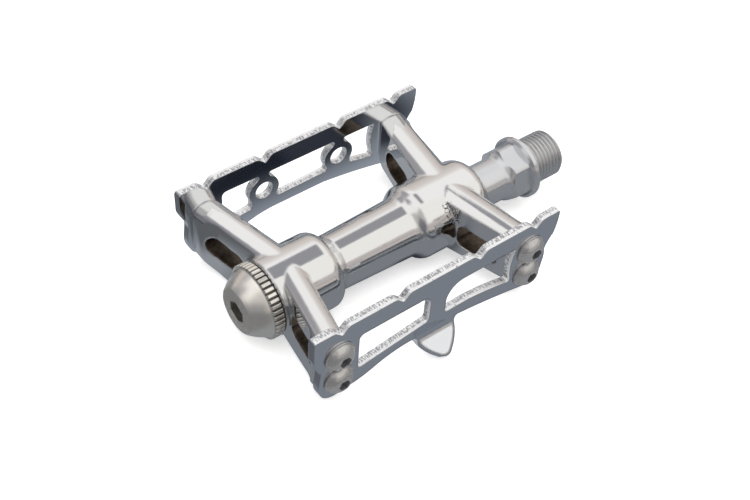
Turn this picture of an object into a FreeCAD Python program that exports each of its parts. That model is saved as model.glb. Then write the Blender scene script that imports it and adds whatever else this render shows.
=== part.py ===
"""Track pedal for the left crank: a cast body with four hollow arms, two toothed side plates,
eight plate screws, and a cup-and-cone axle with two rows of loose balls.

Frame, in millimetres: the axle runs along X, with +X towards the crank, +Y forwards and +Z up.
The origin is on the axle's axis, at the flange face that seats against the crank.
"""
import FreeCAD, Part
import math
import os
import Sketcher
from collections import namedtuple
from FreeCAD import Placement, Rotation, Vector

# Positions along the axle are distances out from the crank's seat, so their X is negative.
# The side plates' heights are measured up from the axle's axis, and widths across Y.
DIMENSIONS = [
    # axle
    ("threadRadius", 7.144, "9/16 inch pedal thread, outer radius"),
    ("threadLength", 11.8, "threaded end beyond the flange"),
    ("threadChamfer", 0.7, "chamfer on the threaded end"),
    ("flangeRadius", 9.55, "flange that seats against the crank"),
    ("flangeWidth", 1.9, ""),
    ("flangeChamfer", 0.7, ""),
    ("wrenchFlats", 15.0, "across the six flats"),
    ("wrenchBarRadius", 8.35, "turned bar that the flats are cut on"),
    ("wrenchWidth", 5.5, "length of the flats at their corners"),
    ("wrenchTurn", 14.5, "how far the axle is turned, in degrees"),
    ("wrenchSlope", 2.3, "run of the hollow slope from the flats down to the neck"),
    ("wrenchSlopeRound", 4.0, ""),
    ("neckRadius", 6.6, "smooth neck that enters the body"),
    ("raceLand", 3.0, "race's floor beyond the ball centres"),
    ("shaftRadius", 4.0, "threaded outer end"),
    ("shaftTaper", 3.0, "bare shaft between the taper and the cone"),
    ("shaftChamfer", 0.6, "chamfer on the outer end"),
    ("shaftEnd", 93.0, "out to the axle's outer end"),
    ("keywayWidth", 2.0, ""),
    ("keywayDepth", 0.8, ""),
    # bearings
    ("ballRadius", 1.5875, "1/8 inch balls"),
    ("raceGap", 0.03, "play between a ball and its races"),
    ("innerBallOut", 24.0, "out to the crank-side row"),
    ("outerBallOut", 83.6, "out to the far row"),
    ("outerCircleRadius", 6.0, "circle of the far row's ball centres"),
    ("innerCupRadius", 8.9, ""),
    ("outerCupRadius", 9.0, ""),
    ("cupWall", 1.0, "wall behind a cup's race"),
    ("cupBoreRadius", 5.6, ""),
    ("cupMouth", 2.0, "cup's lip beyond the ball centres"),
    ("coneRadius", 6.9, ""),
    ("coneOuterWidth", 2.8, "cone's barrel beyond its race"),
    ("coneNose", 0.9, ""),
    ("washerRadius", 6.4, ""),
    ("washerWidth", 1.0, ""),
    ("nutFlats", 11.5, ""),
    ("nutWidth", 3.4, ""),
    ("threadPlay", 0.02, "clearance of the fine threads"),
    ("sealGap", 0.254428, "seal to the inner cup"),
    ("sealPlay", 0.05, "seal's lip to the neck"),
    ("coverWidth", 1.25, "pressed cover that closes the crank-side end"),
    ("coverPlay", 0.25, "cover's edge to the neck"),
    # body casting
    ("hubRadius", 11.15, ""),
    ("hubFaceOut", 90.7, "out to the far hub's end face"),
    ("hubShoulderOut", 70.25, "out to the far hub's inner face"),
    ("hubShoulderRound", 3.8, ""),
    ("grooveRadius", 7.3, "groove between hub and barrel"),
    ("grooveWidth", 1.1, ""),
    ("barrelEndRadius", 8.15, "barrel's radius beside the groove"),
    ("barrelEndRound", 1.0, ""),
    ("barrelFlareRadius", 8.85, "barrel's radius where the flare starts"),
    ("flareOut", 46.2, "out to the start of the flare"),
    ("flareTopOut", 40.6, "out to the top of the flare"),
    ("nearEndOut", 18.55, "out to the crank-side end of the body"),
    ("nearEndRound", 4.6, ""),
    ("barrelBoreRadius", 6.0, ""),
    ("capBoreRadius", 9.95, "tapped mouth for the dust cap"),
    ("capBoreDepth", 4.7, ""),
    # arms
    ("armCrest", 10.9, "height of the arms' rounded top"),
    ("armNeckY", 21.0, "across to where the end boss starts to widen"),
    ("bossY", 26.2, "across to the boss's full width"),
    ("bossWidth", 9.4, ""),
    ("flareRound", 11.0, "radius of the boss's flare"),
    ("armEndRound", 0.9, "rounding of the arms' upright edges at the plates"),
    ("farArmRoot", 83.7, "far arms' centre on the axis"),
    ("farArmRootWidth", 7.7, ""),
    ("farArmNeckWidth", 7.0, ""),
    ("farArmCrown", 5.2, "rounding across the far arms' top"),
    ("farArmFoot", 10.8, "depth of the far arms' underside at the hub"),
    ("farArmTipFoot", 8.6, "depth of the far arms' underside at the plate"),
    ("farHeelRound", 8.0, "rounding under the far bosses' outer corner"),
    ("nearArmRoot", 30.6, "crank-side arms' centre on the axis"),
    ("nearArmRootWidth", 10.3, ""),
    ("nearArmNeckWidth", 8.0, ""),
    ("nearArmCrown", 7.4, "rounding across the crank-side arms' top"),
    ("nearArmFoot", 7.6, "depth of the crank-side arms' underside at the hub"),
    ("nearArmTipFoot", 5.3, "depth of the crank-side arms' underside at the plate"),
    ("nearHeelRound", 3.0, "rounding under the crank-side bosses' outer corner"),
    ("tipRound", 3.5, "rounding of an arm's underside at the plate"),
    ("slotStart", 11.2, "across to the slot's hub end"),
    ("slotEnd", 25.0, "across to the slot's plate end"),
    ("slotTop", 4.2, ""),
    ("slotFoot", 3.4, ""),
    ("slotCorner", 2.6, ""),
    # side plates
    ("plateFace", 32.0, "across to the plates' outer faces"),
    ("plateThickness", 2.3, ""),
    ("landHeight", 17.3, "top edge between the notches"),
    ("notchDepth", 2.1, ""),
    ("notchRamp", 2.2, "run of a notch's slope"),
    ("notchShoulder", 2.7, "run of a notch's rounded side"),
    ("landRound", 2.4, ""),
    ("notchOneOut", 88.95, ""),
    ("notchTwoOut", 69.95, ""),
    ("notchThreeOut", 44.6, ""),
    ("notchFourOut", 25.05, ""),
    ("hornTipOut", 16.7, "crank-side tip of the plates"),
    ("farEndOut", 97.6, "far end of the plates' upper lobe"),
    ("farWaistOut", 95.4, ""),
    ("nearWaistOut", 20.0, ""),
    ("waistHeight", 4.0, ""),
    ("lobeFoot", 7.8, "depth of the plates' end lobes"),
    ("archFoot", 3.0, "depth of the plates' arched middle"),
    ("archFarOut", 66.0, ""),
    ("archNearOut", 50.0, ""),
    ("boltFarOut", 89.6, ""),
    ("boltNearOut", 25.9, ""),
    ("boltHigh", 7.7, ""),
    ("boltLow", 1.45, "depth of the lower screws"),
    ("boltHoleRadius", 2.6, ""),
    ("windowTop", 11.0, ""),
    ("sillHeight", 1.4, "windows' sill beside the middle post"),
    ("rearWindowFarOut", 83.5, ""),
    ("frontWindowFarOut", 84.3, ""),
    ("windowNearOut", 32.1, ""),
    ("postFarOut", 60.6, "far side of the rear plate's middle post"),
    ("postNearOut", 55.1, ""),
    ("postRound", 2.8, ""),
    ("toeHoleFarOut", 70.5, ""),
    ("toeHoleNearOut", 44.6, ""),
    ("toeHoleHeight", 4.75, ""),
    ("toeHoleRadius", 2.9, ""),
    ("toeBossRadius", 4.95, "metal left round a toe-clip hole"),
    ("windowCorner", 0.9, "smallest rounding in the windows' corners"),
    ("tabOut", 57.8, "centre of the flip tab"),
    ("tabHalfWidth", 6.1, ""),
    ("tabTipHalfWidth", 2.0, ""),
    ("tabReach", 8.2, "tab's length from its bend"),
    ("tabTilt", 50.0, "tab's angle out from the plate, in degrees"),
    ("tabBendRadius", 3.0, ""),
    ("tabFillet", 1.7, "rounding between the tab and the plate's edge"),
    # screws
    ("screwRadius", 2.5, "M5 shank"),
    ("screwLength", 6.0, ""),
    ("tappedBeyond", 0.6, "tapped hole left past a screw's end"),
    ("rimRadius", 4.55, ""),
    ("rimHeight", 0.55, ""),
    ("domeRadius", 4.15, "button head beside its rim"),
    ("domeHeight", 2.7, ""),
    ("domeFlat", 1.9, "flat round the socket"),
    ("domeRound", 3.7, "radius of the head's bulge"),
    ("socketFlats", 3.0, ""),
    ("socketDepth", 1.7, ""),
    # dust cap
    ("capGap", 0.3, "ring between hub and cap"),
    ("rimTipRadius", 10.85, "knurled rim"),
    ("rimWidth", 3.1, ""),
    ("knurlDepth", 0.6, ""),
    ("capShoulderRadius", 10.0, ""),
    ("capFrontOut", 99.3, ""),
    ("capFrontRadius", 6.9, ""),
    ("capDome", 18.0, "bulge radius of the cap's flank"),
    ("capWall", 1.0, ""),
    ("capSpigot", 4.1, ""),
    ("capPlay", 0.05, ""),
    ("capSocketFlats", 6.0, ""),
    ("capSocketTurn", 27.0, "how far the cap is screwed round, in degrees"),
    ("capSocketDepth", 3.4, ""),
]

KNURL_TEETH = 42
INNER_BALLS = 12
OUTER_BALLS = 11

doc = FreeCAD.newDocument("TrackPedal")
sheet = doc.addObject("Spreadsheet::Sheet", "Sizes")
for row, (alias, value, note) in enumerate(DIMENSIONS, start=1):
    sheet.set(f"A{row}", alias)
    sheet.set(f"B{row}", str(value))
    sheet.set(f"C{row}", note)
    sheet.setAlias(f"B{row}", alias)
doc.recompute()


class Size:
    """A number together with the sheet expression that gives it."""

    def __init__(self, value, text):
        self.value = value
        self.text = text

    def __add__(self, other):
        other = size(other)
        return Size(self.value + other.value, f"({self.text} + {other.text})")

    def __sub__(self, other):
        other = size(other)
        return Size(self.value - other.value, f"({self.text} - {other.text})")

    def __mul__(self, other):
        other = size(other)
        return Size(self.value * other.value, f"({self.text} * {other.text})")

    def __truediv__(self, other):
        other = size(other)
        return Size(self.value / other.value, f"({self.text} / {other.text})")

    def __neg__(self):
        return Size(-self.value, f"(-{self.text})")

    __radd__ = __add__
    __rmul__ = __mul__

    def __rsub__(self, other):
        return size(other) - self


def size(item):
    """A Size from a plain number, or the Size itself."""
    return item if isinstance(item, Size) else Size(float(item), f"{float(item):.6f}")


def root(item):
    return Size(math.sqrt(item.value), f"sqrt({item.text})")


def cosine(degrees):
    return Size(math.cos(math.radians(degrees.value)), f"cos({degrees.text} * 1 deg)")


def sine(degrees):
    return Size(math.sin(math.radians(degrees.value)), f"sin({degrees.text} * 1 deg)")


class Sheet:
    """The sheet's cells as attributes, each a Size."""

    def __getattr__(self, alias):
        return Size(float(sheet.get(alias)), f"Sizes.{alias}")


S = Sheet()


def bind(thing, prop, item):
    """Tie a property to the sheet."""
    item = size(item)
    thing.setExpression(prop, item.text)


# Local axes of a sketch: its x, its y and its normal in the pedal's frame.
PLANES = {
    "XZ": (Vector(1, 0, 0), Vector(0, 0, 1)),
    "XY": (Vector(1, 0, 0), Vector(0, 1, 0)),
    "YZ": (Vector(0, 1, 0), Vector(0, 0, 1)),
}


def fill_sketch(sketch, loops):
    """Draw closed loops whose corners are bound to the sheet.

    A loop is a list of corners (x, y) or (x, y, radius): the radius bends the side that leaves
    the corner, to the left when it is positive. A loop ("circle", x, y, radius) is a full circle.
    """
    rules = []
    for loop in loops:
        if loop[0] == "circle":
            rules += add_circle(sketch, *loop[1:])
        else:
            rules += add_loop(sketch, loop)
    constraints = []
    for kind, where, item in rules:
        values = [] if item is None else [item.value]
        constraints.append(Sketcher.Constraint(kind, *where, *values))
    sketch.addConstraint(constraints)
    for index, (kind, where, item) in enumerate(rules):
        if item is not None:
            sketch.setExpression(f"Constraints[{index}]", item.text)


def add_circle(sketch, x, y, radius):
    """Draw a full circle and return the rules that hold it."""
    x, y, radius = size(x), size(y), size(radius)
    centre = Vector(x.value, y.value, 0)
    circle = sketch.addGeometry(Part.Circle(centre, Vector(0, 0, 1), radius.value))
    return [
        ("Radius", (circle,), radius),
        ("DistanceX", (-1, 1, circle, 3), x),
        ("DistanceY", (-1, 1, circle, 3), y),
    ]


def arc_between(start, end, radius):
    """The short arc from start to end, as a counter-clockwise arc and which of its ends is the start."""
    chord = end - start
    height = math.sqrt(max(radius * radius - chord.Length ** 2 / 4, 0.0))
    left = Vector(-chord.y, chord.x, 0).normalize()
    centre = (start + end) * 0.5 + left * height * (1 if radius > 0 else -1)
    first, last = (start, end) if radius > 0 else (end, start)
    angles = [math.atan2(p.y - centre.y, p.x - centre.x) for p in (first, last)]
    circle = Part.Circle(centre, Vector(0, 0, 1), abs(radius))
    return Part.ArcOfCircle(circle, *angles), (1 if radius > 0 else 2)


def add_loop(sketch, corners):
    """Draw a closed loop and return the rules that hold it."""
    corners = [tuple(size(item) for item in corner) for corner in corners]
    points = [Vector(corner[0].value, corner[1].value, 0) for corner in corners]
    sides = []
    rules = []
    for corner, start, end in zip(corners, points, points[1:] + points[:1]):
        if len(corner) == 3:
            arc, start_end = arc_between(start, end, corner[2].value)
            side = sketch.addGeometry(arc)
            bend = corner[2] if corner[2].value > 0 else -corner[2]
            rules.append(("Radius", (side,), bend))
        else:
            side = sketch.addGeometry(Part.LineSegment(start, end))
            start_end = 1
        sides.append((side, start_end))
    for index, (side, start_end) in enumerate(sides):
        before, before_start = sides[index - 1]
        rules.append(("Coincident", (before, 3 - before_start, side, start_end), None))
        rules.append(("DistanceX", (-1, 1, side, start_end), corners[index][0]))
        rules.append(("DistanceY", (-1, 1, side, start_end), corners[index][1]))
    return rules


def free_sketch(name, plane, loops, offset=0):
    """A sketch of its own, for the Part features; offset moves it along its normal."""
    sketch = doc.addObject("Sketcher::SketchObject", name)
    x_axis, y_axis = PLANES[plane]
    normal = x_axis.cross(y_axis)
    offset = size(offset)
    sketch.Placement = Placement(normal * offset.value, Rotation(x_axis, y_axis, normal, "ZXY"))
    for axis in "xyz":
        if abs(getattr(normal, axis)) > 0.5:
            bind(sketch, f"Placement.Base.{axis}", offset * getattr(normal, axis))
    fill_sketch(sketch, loops)
    return sketch


def body_sketch(body, plane, loops, offset=0):
    """A sketch on one of a PartDesign body's own origin planes."""
    sketch = body.newObject("Sketcher::SketchObject", f"{body.Name}_profile")
    role = f"{plane}_Plane"
    support = next(item for item in body.Origin.OriginFeatures if item.Role == role)
    sketch.AttachmentSupport = [(support, "")]
    sketch.MapMode = "FlatFace"
    bind(sketch, "AttachmentOffset.Base.z", offset)
    fill_sketch(sketch, loops)
    return sketch


def new_body(label):
    body = doc.addObject("PartDesign::Body", f"Body_{label}")
    body.Label = label
    return body


def turned(label, corners):
    """A PartDesign body turned about the axle's axis from an (x, radius) profile."""
    body = new_body(label)
    sketch = body_sketch(body, "XZ", [corners])
    revolution = body.newObject("PartDesign::Revolution", f"{body.Name}_turning")
    revolution.Profile = sketch
    revolution.ReferenceAxis = (sketch, ["H_Axis"])
    revolution.Angle = 360
    doc.recompute()
    return body


def pocket(body, plane, loops, offset, depth, reverse):
    """Cut loops into a body, from a plane at offset and depth deep along or against its normal."""
    before = body.Shape.Volume
    sketch = body_sketch(body, plane, loops, offset)
    cut = body.newObject("PartDesign::Pocket", f"{body.Name}_pocket")
    cut.Profile = sketch
    bind(cut, "Length", depth)
    cut.Reversed = reverse
    doc.recompute()
    if not body.Shape.Volume < before - 1e-6:
        raise ValueError(f"a pocket in {body.Label} cuts nothing")
    return cut


def hexagon(flats, turn=0):
    """The corners of a hexagon, given across its flats."""
    corner = size(flats) / math.sqrt(3)
    turn = size(turn)
    return [(corner * cosine(turn + 60 * step), corner * sine(turn + 60 * step)) for step in range(6)]


def extrusion(name, sketch, direction, length, both_ways=False):
    """A Part extrusion of a sketch; direction holds numbers or Sizes."""
    block = doc.addObject("Part::Extrusion", name)
    block.Base = sketch
    block.DirMode = "Custom"
    block.Dir = Vector(*(size(item).value for item in direction))
    for axis, item in zip("xyz", direction):
        bind(block, f"Dir.{axis}", item)
    bind(block, "LengthFwd", length)
    block.Symmetric = both_ways
    block.Solid = True
    return block


def common(name, shapes):
    block = doc.addObject("Part::MultiCommon", name)
    block.Shapes = shapes
    return block


def fused(name, shapes):
    block = doc.addObject("Part::MultiFuse", name)
    block.Shapes = shapes
    return block


def cut(name, base, tool):
    block = doc.addObject("Part::Cut", name)
    block.Base = base
    block.Tool = tool
    return block


def cylinder(name, radius, length, place, axis):
    """A Part cylinder from a place, along a unit axis of the frame."""
    block = doc.addObject("Part::Cylinder", name)
    bind(block, "Radius", radius)
    bind(block, "Height", length)
    block.Placement = Placement(Vector(), Rotation(Vector(0, 0, 1), axis))
    for name_of_axis, item in zip("xyz", place):
        bind(block, f"Placement.Base.{name_of_axis}", item)
    return block


SIDES = (("rear", -1), ("front", 1))
ENDS = (("outboard", S.boltFarOut), ("inboard", S.boltNearOut))
LEVELS = (("upper", S.boltHigh), ("lower", -S.boltLow))
inner_face = S.plateFace - S.plateThickness


def make_axle():
    """Axle: crank thread, flange, wrench flats, neck, inner race and threaded outer end."""
    race = S.ballRadius + S.raceGap
    wrench_out = S.flangeWidth + S.wrenchWidth
    race_edge = S.innerBallOut - race
    race_floor = S.neckRadius - race
    thread_out = S.outerBallOut - S.coneNose - S.shaftTaper
    body = turned("axle", [
        (S.threadLength, 0),
        (S.threadLength, S.threadRadius - S.threadChamfer),
        (S.threadLength - S.threadChamfer, S.threadRadius),
        (0, S.threadRadius),
        (0, S.flangeRadius),
        (-(S.flangeWidth - S.flangeChamfer), S.flangeRadius),
        (-S.flangeWidth, S.flangeRadius - S.flangeChamfer),
        (-S.flangeWidth, S.wrenchBarRadius),
        (-wrench_out, S.wrenchBarRadius, -S.wrenchSlopeRound),
        (-(wrench_out + S.wrenchSlope), S.neckRadius),
        (-race_edge, S.neckRadius, -race),
        (-S.innerBallOut, race_floor),
        (-(S.innerBallOut + S.raceLand), race_floor),
        (-thread_out, S.shaftRadius),
        (-(S.shaftEnd - S.shaftChamfer), S.shaftRadius),
        (-S.shaftEnd, S.shaftRadius - S.shaftChamfer),
        (-S.shaftEnd, 0),
    ])
    ring = ("circle", 0, 0, S.flangeRadius + 1)
    pocket(body, "YZ", [ring, hexagon(S.wrenchFlats, S.wrenchTurn + 60)],
           -S.flangeWidth, S.wrenchWidth + S.wrenchSlope, False)
    keyway = [
        (-S.keywayWidth / 2, S.shaftRadius - S.keywayDepth),
        (S.keywayWidth / 2, S.shaftRadius - S.keywayDepth),
        (S.keywayWidth / 2, S.shaftRadius + 1),
        (-S.keywayWidth / 2, S.shaftRadius + 1),
    ]
    pocket(body, "YZ", [keyway], -S.shaftEnd, S.shaftEnd - S.outerBallOut, True)
    return body


def make_inner_cup():
    race = S.ballRadius + S.raceGap
    mouth = S.innerBallOut - S.cupMouth
    floor = S.innerBallOut + race
    top = S.neckRadius + race
    return turned("inboard_cup", [
        (-mouth, top),
        (-mouth, S.innerCupRadius),
        (-(floor + S.cupWall), S.innerCupRadius),
        (-(floor + S.cupWall), S.cupBoreRadius),
        (-floor, S.cupBoreRadius),
        (-floor, S.neckRadius, -race),
        (-S.innerBallOut, top),
    ])


def make_outer_cup():
    race = S.ballRadius + S.raceGap
    mouth = S.outerBallOut + S.cupMouth
    floor = S.outerBallOut - race
    top = S.outerCircleRadius + race
    bore = S.outerCircleRadius - race + 0.7
    return turned("outboard_cup", [
        (-mouth, top),
        (-S.outerBallOut, top, -race),
        (-floor, S.outerCircleRadius),
        (-floor, bore),
        (-(floor - S.cupWall), bore),
        (-(floor - S.cupWall), S.outerCupRadius),
        (-mouth, S.outerCupRadius),
    ])


def cone_end():
    """How far out the adjusting cone reaches."""
    return S.outerBallOut + S.ballRadius + S.raceGap + S.coneOuterWidth


def make_cone():
    race = S.ballRadius + S.raceGap
    floor = S.outerCircleRadius - race
    bore = S.shaftRadius + S.threadPlay
    return turned("adjusting_cone", [
        (-(S.outerBallOut - S.coneNose), bore),
        (-(S.outerBallOut - S.coneNose), floor),
        (-S.outerBallOut, floor, -race),
        (-(S.outerBallOut + race), S.outerCircleRadius),
        (-(S.outerBallOut + race), S.coneRadius),
        (-cone_end(), S.coneRadius),
        (-cone_end(), bore),
    ])


def make_lock_washer():
    """Washer whose inner tab sits in the axle's keyway."""
    start = cone_end()
    end = start + S.washerWidth
    body = turned("lock_washer", [
        (-start, S.shaftRadius + S.threadPlay),
        (-start, S.washerRadius),
        (-end, S.washerRadius),
        (-end, S.shaftRadius + S.threadPlay),
    ])
    side = S.keywayWidth / 2 - S.threadPlay
    tab = [
        (-side, S.shaftRadius - S.keywayDepth + S.threadPlay),
        (side, S.shaftRadius - S.keywayDepth + S.threadPlay),
        (side, S.shaftRadius + 0.5),
        (-side, S.shaftRadius + 0.5),
    ]
    pad = body.newObject("PartDesign::Pad", "lock_washer_tab")
    pad.Profile = body_sketch(body, "YZ", [tab], -end)
    bind(pad, "Length", S.washerWidth)
    doc.recompute()
    return body


def make_lock_nut():
    start = cone_end() + S.washerWidth
    end = start + S.nutWidth
    corner = S.nutFlats / math.sqrt(3)
    body = turned("lock_nut", [
        (-start, S.shaftRadius + S.threadPlay),
        (-start, corner),
        (-(end - 0.5), corner),
        (-end, corner - 0.8),
        (-end, S.shaftRadius + S.threadPlay),
    ])
    ring = ("circle", 0, 0, corner + 1)
    pocket(body, "YZ", [ring, hexagon(S.nutFlats)], -start, S.nutWidth, False)
    return body


def end_round_out(radius):
    """Distance out at which the rounded crank-side end has a given radius."""
    rise = radius - (S.hubRadius - S.nearEndRound)
    return S.nearEndOut + S.nearEndRound - root(S.nearEndRound * S.nearEndRound - rise * rise)


def make_cover():
    """Pressed cover that carries the body's rounded end down to the neck."""
    edge = S.neckRadius + S.coverPlay
    back = end_round_out(S.innerCupRadius) + S.coverWidth
    return turned("inboard_cover", [
        (-back, edge),
        (-end_round_out(edge), edge, S.nearEndRound),
        (-end_round_out(S.innerCupRadius), S.innerCupRadius),
        (-back, S.innerCupRadius),
    ])


def make_seal():
    """Rubber seal between the cover and the inner cup, its lip just clear of the neck."""
    front = end_round_out(S.innerCupRadius) + S.coverWidth
    back = S.innerBallOut - S.cupMouth - S.sealGap
    lip = S.neckRadius + S.sealPlay
    return turned("inboard_seal", [
        (-front, lip + 0.6),
        (-front, S.innerCupRadius),
        (-back, S.innerCupRadius),
        (-back, lip + 0.9),
        (-(back - 0.4), lip),
    ])


def make_dust_cap():
    """Dust cap: tapped spigot, knurled rim, domed flank and a hexagon socket in its front."""
    rim_back = S.hubFaceOut + S.capGap
    rim_front = rim_back + S.rimWidth
    spigot = S.capBoreRadius - S.capPlay
    cavity = spigot - S.capWall
    floor = S.capFrontOut - S.capSocketDepth - S.capWall
    body = turned("dust_cap", [
        (-(S.hubFaceOut - S.capSpigot), cavity),
        (-(S.hubFaceOut - S.capSpigot), spigot),
        (-rim_back, spigot),
        (-rim_back, S.rimTipRadius - 0.3),
        (-(rim_back + 0.3), S.rimTipRadius),
        (-(rim_front - 0.4), S.rimTipRadius),
        (-rim_front, S.capShoulderRadius, S.capDome),
        (-(S.capFrontOut - 0.3), S.capFrontRadius),
        (-S.capFrontOut, S.capFrontRadius - 0.4),
        (-S.capFrontOut, 0),
        (-floor, 0),
        (-floor, S.capFrontRadius - S.capWall),
        (-rim_front, cavity),
    ])
    half = S.rimTipRadius * math.pi / KNURL_TEETH * 0.55
    groove = [
        (-half, S.rimTipRadius + 0.2),
        (-half * 0.35, S.rimTipRadius - S.knurlDepth),
        (half * 0.35, S.rimTipRadius - S.knurlDepth),
        (half, S.rimTipRadius + 0.2),
    ]
    knurl = pocket(body, "YZ", [groove], -rim_front, S.rimWidth, True)
    pattern = body.newObject("PartDesign::PolarPattern", "dust_cap_knurl")
    pattern.Originals = [knurl]
    axis = next(item for item in body.Origin.OriginFeatures if item.Role == "X_Axis")
    pattern.Axis = (axis, [""])
    pattern.Angle = 360
    pattern.Occurrences = KNURL_TEETH
    body.Tip = pattern
    doc.recompute()
    socket = hexagon(S.capSocketFlats, S.capSocketTurn)
    pocket(body, "YZ", [socket], -S.capFrontOut, S.capSocketDepth, True)
    return body


def make_cap_ring():
    """Black ring squeezed between the hub's face and the cap."""
    return turned("dust_cap_ring", [
        (-S.hubFaceOut, S.capBoreRadius),
        (-S.hubFaceOut, S.rimTipRadius - 0.35),
        (-(S.hubFaceOut + S.capGap), S.rimTipRadius - 0.35),
        (-(S.hubFaceOut + S.capGap), S.capBoreRadius),
    ])


def make_balls(label, count, out, circle):
    """A row of balls, each one a sub-part."""
    balls = []
    for index in range(count):
        ball = doc.addObject("Part::Sphere", f"{label}_{index + 1:02d}")
        ball.Label = ball.Name
        bind(ball, "Radius", S.ballRadius)
        angle = size(360.0 * index / count)
        ball.Placement = Placement(Vector(), Rotation(Vector(0, 1, 0), 90))
        bind(ball, "Placement.Base.x", -out)
        bind(ball, "Placement.Base.y", circle * cosine(angle))
        bind(ball, "Placement.Base.z", circle * sine(angle))
        balls.append(ball)
    return balls


Arm = namedtuple("Arm", "name outer root root_width neck_width bolt crown foot tip_foot heel_round")
ARMS = (
    Arm("far_arm", -1, S.farArmRoot, S.farArmRootWidth, S.farArmNeckWidth, S.boltFarOut,
        S.farArmCrown, S.farArmFoot, S.farArmTipFoot, S.farHeelRound),
    Arm("near_arm", 1, S.nearArmRoot, S.nearArmRootWidth, S.nearArmNeckWidth, S.boltNearOut,
        S.nearArmCrown, S.nearArmFoot, S.nearArmTipFoot, S.nearHeelRound),
)


def arm_plan(arm):
    """An arm seen from above: straight towards the windows, flared to its boss on the outer side."""
    half_root, half_neck = arm.root_width / 2, arm.neck_width / 2

    def flank(across, sign):
        """X of an arm's straight side at a distance across from the axis."""
        centre = arm.root + (arm.bolt - arm.root) * across / inner_face
        half = half_root + (half_neck - half_root) * across / S.armNeckY
        return half * sign - centre

    bend = S.armEndRound
    end = inner_face - bend
    boss = -arm.bolt + S.bossWidth / 2 * arm.outer
    root_side = [(flank(0, -1), 0), (flank(0, 1), 0)]
    if arm.outer > 0:
        return root_side + [
            (flank(S.armNeckY, 1), S.armNeckY, -S.flareRound),
            (boss, S.bossY),
            (boss, end, bend),
            (boss - bend, inner_face),
            (flank(end, -1) + bend, inner_face, bend),
            (flank(end, -1), end),
        ]
    return root_side + [
        (flank(end, 1), end, bend),
        (flank(end, 1) - bend, inner_face),
        (boss + bend, inner_face, bend),
        (boss, end),
        (boss, S.bossY, -S.flareRound),
        (flank(S.armNeckY, -1), S.armNeckY),
    ]


def arm_crown(arm):
    """Section across an arm: a rounded top on straight sides."""
    springing = S.armCrest - arm.crown
    deep = S.hubRadius + 1
    radius = arm.crown * 1.0001
    return [
        (-(arm.root + arm.crown), -deep),
        (-(arm.root - arm.crown), -deep),
        (-(arm.root - arm.crown), springing, radius),
        (-arm.root, S.armCrest, radius),
        (-(arm.root + arm.crown), springing),
    ]


def arm_heel(arm):
    """Limits of an arm seen from the side plate, rounded under the boss's outer corner."""
    outer = arm.bolt + S.bossWidth / 2 + 0.3
    inner = arm.root - arm.root_width
    top = S.armCrest + 1
    if arm.bolt.value > arm.root.value:
        return [
            (-inner, top),
            (-outer, top),
            (-outer, -arm.foot + arm.heel_round, arm.heel_round),
            (-outer + arm.heel_round, -arm.foot),
            (-inner, -arm.foot),
        ]
    outer = arm.bolt - S.bossWidth / 2 - 0.3
    inner = arm.root + arm.root_width
    return [
        (-outer, top),
        (-inner, top),
        (-inner, -arm.foot),
        (-outer - arm.heel_round, -arm.foot, arm.heel_round),
        (-outer, -arm.foot + arm.heel_round),
    ]


def arm_side(arm):
    """An arm seen along the axle: a level top over an underside that rises to the plate."""
    start = arm.foot / 2
    end = inner_face - S.tipRound
    foot = arm.tip_foot + (arm.foot - arm.tip_foot) * S.tipRound / (inner_face - start)
    return [
        (0, -arm.foot),
        (start, -arm.foot),
        (end, -foot, S.tipRound * 1.1),
        (inner_face, -foot + S.tipRound),
        (inner_face, S.armCrest + 1),
        (0, S.armCrest + 1),
    ]


def arm_slot():
    """Slot through an arm: square towards the hub, round towards the plate."""
    end_round = (S.slotTop + S.slotFoot) / 2
    radius = end_round * 1.0001
    return [
        (S.slotStart + S.slotCorner, S.slotTop, S.slotCorner),
        (S.slotStart, S.slotTop - S.slotCorner),
        (S.slotStart, -S.slotFoot + S.slotCorner, S.slotCorner),
        (S.slotStart + S.slotCorner, -S.slotFoot),
        (S.slotEnd - end_round, -S.slotFoot, radius),
        (S.slotEnd, (S.slotTop - S.slotFoot) / 2, radius),
        (S.slotEnd - end_round, S.slotTop),
    ]


def make_arm(arm):
    """One forward arm, as what its plan, crown, heel and side view have in common, and its slot."""
    middle = -(arm.root + arm.bolt) / 2
    span = S.bossWidth * 4
    lean = (arm.bolt - arm.root) / inner_face
    name = arm.name
    plan = extrusion(f"{name}_plan_block", free_sketch(f"{name}_plan", "XY", [arm_plan(arm)]),
                     (0, 0, 1), S.hubRadius * 4, True)
    crown = extrusion(f"{name}_crown_block", free_sketch(f"{name}_crown", "XZ", [arm_crown(arm)]),
                      (-lean, 1, 0), inner_face * 1.2)
    heel = extrusion(f"{name}_heel_block", free_sketch(f"{name}_heel", "XZ", [arm_heel(arm)]),
                     (0, 1, 0), inner_face)
    side = extrusion(f"{name}_side_block", free_sketch(f"{name}_side", "YZ", [arm_side(arm)], middle),
                     (1, 0, 0), span, True)
    slot = extrusion(f"{name}_slot_block", free_sketch(f"{name}_slot", "YZ", [arm_slot()], middle),
                     (1, 0, 0), span, True)
    return common(f"{name}_blank", [plan, crown, heel, side]), slot


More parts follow.
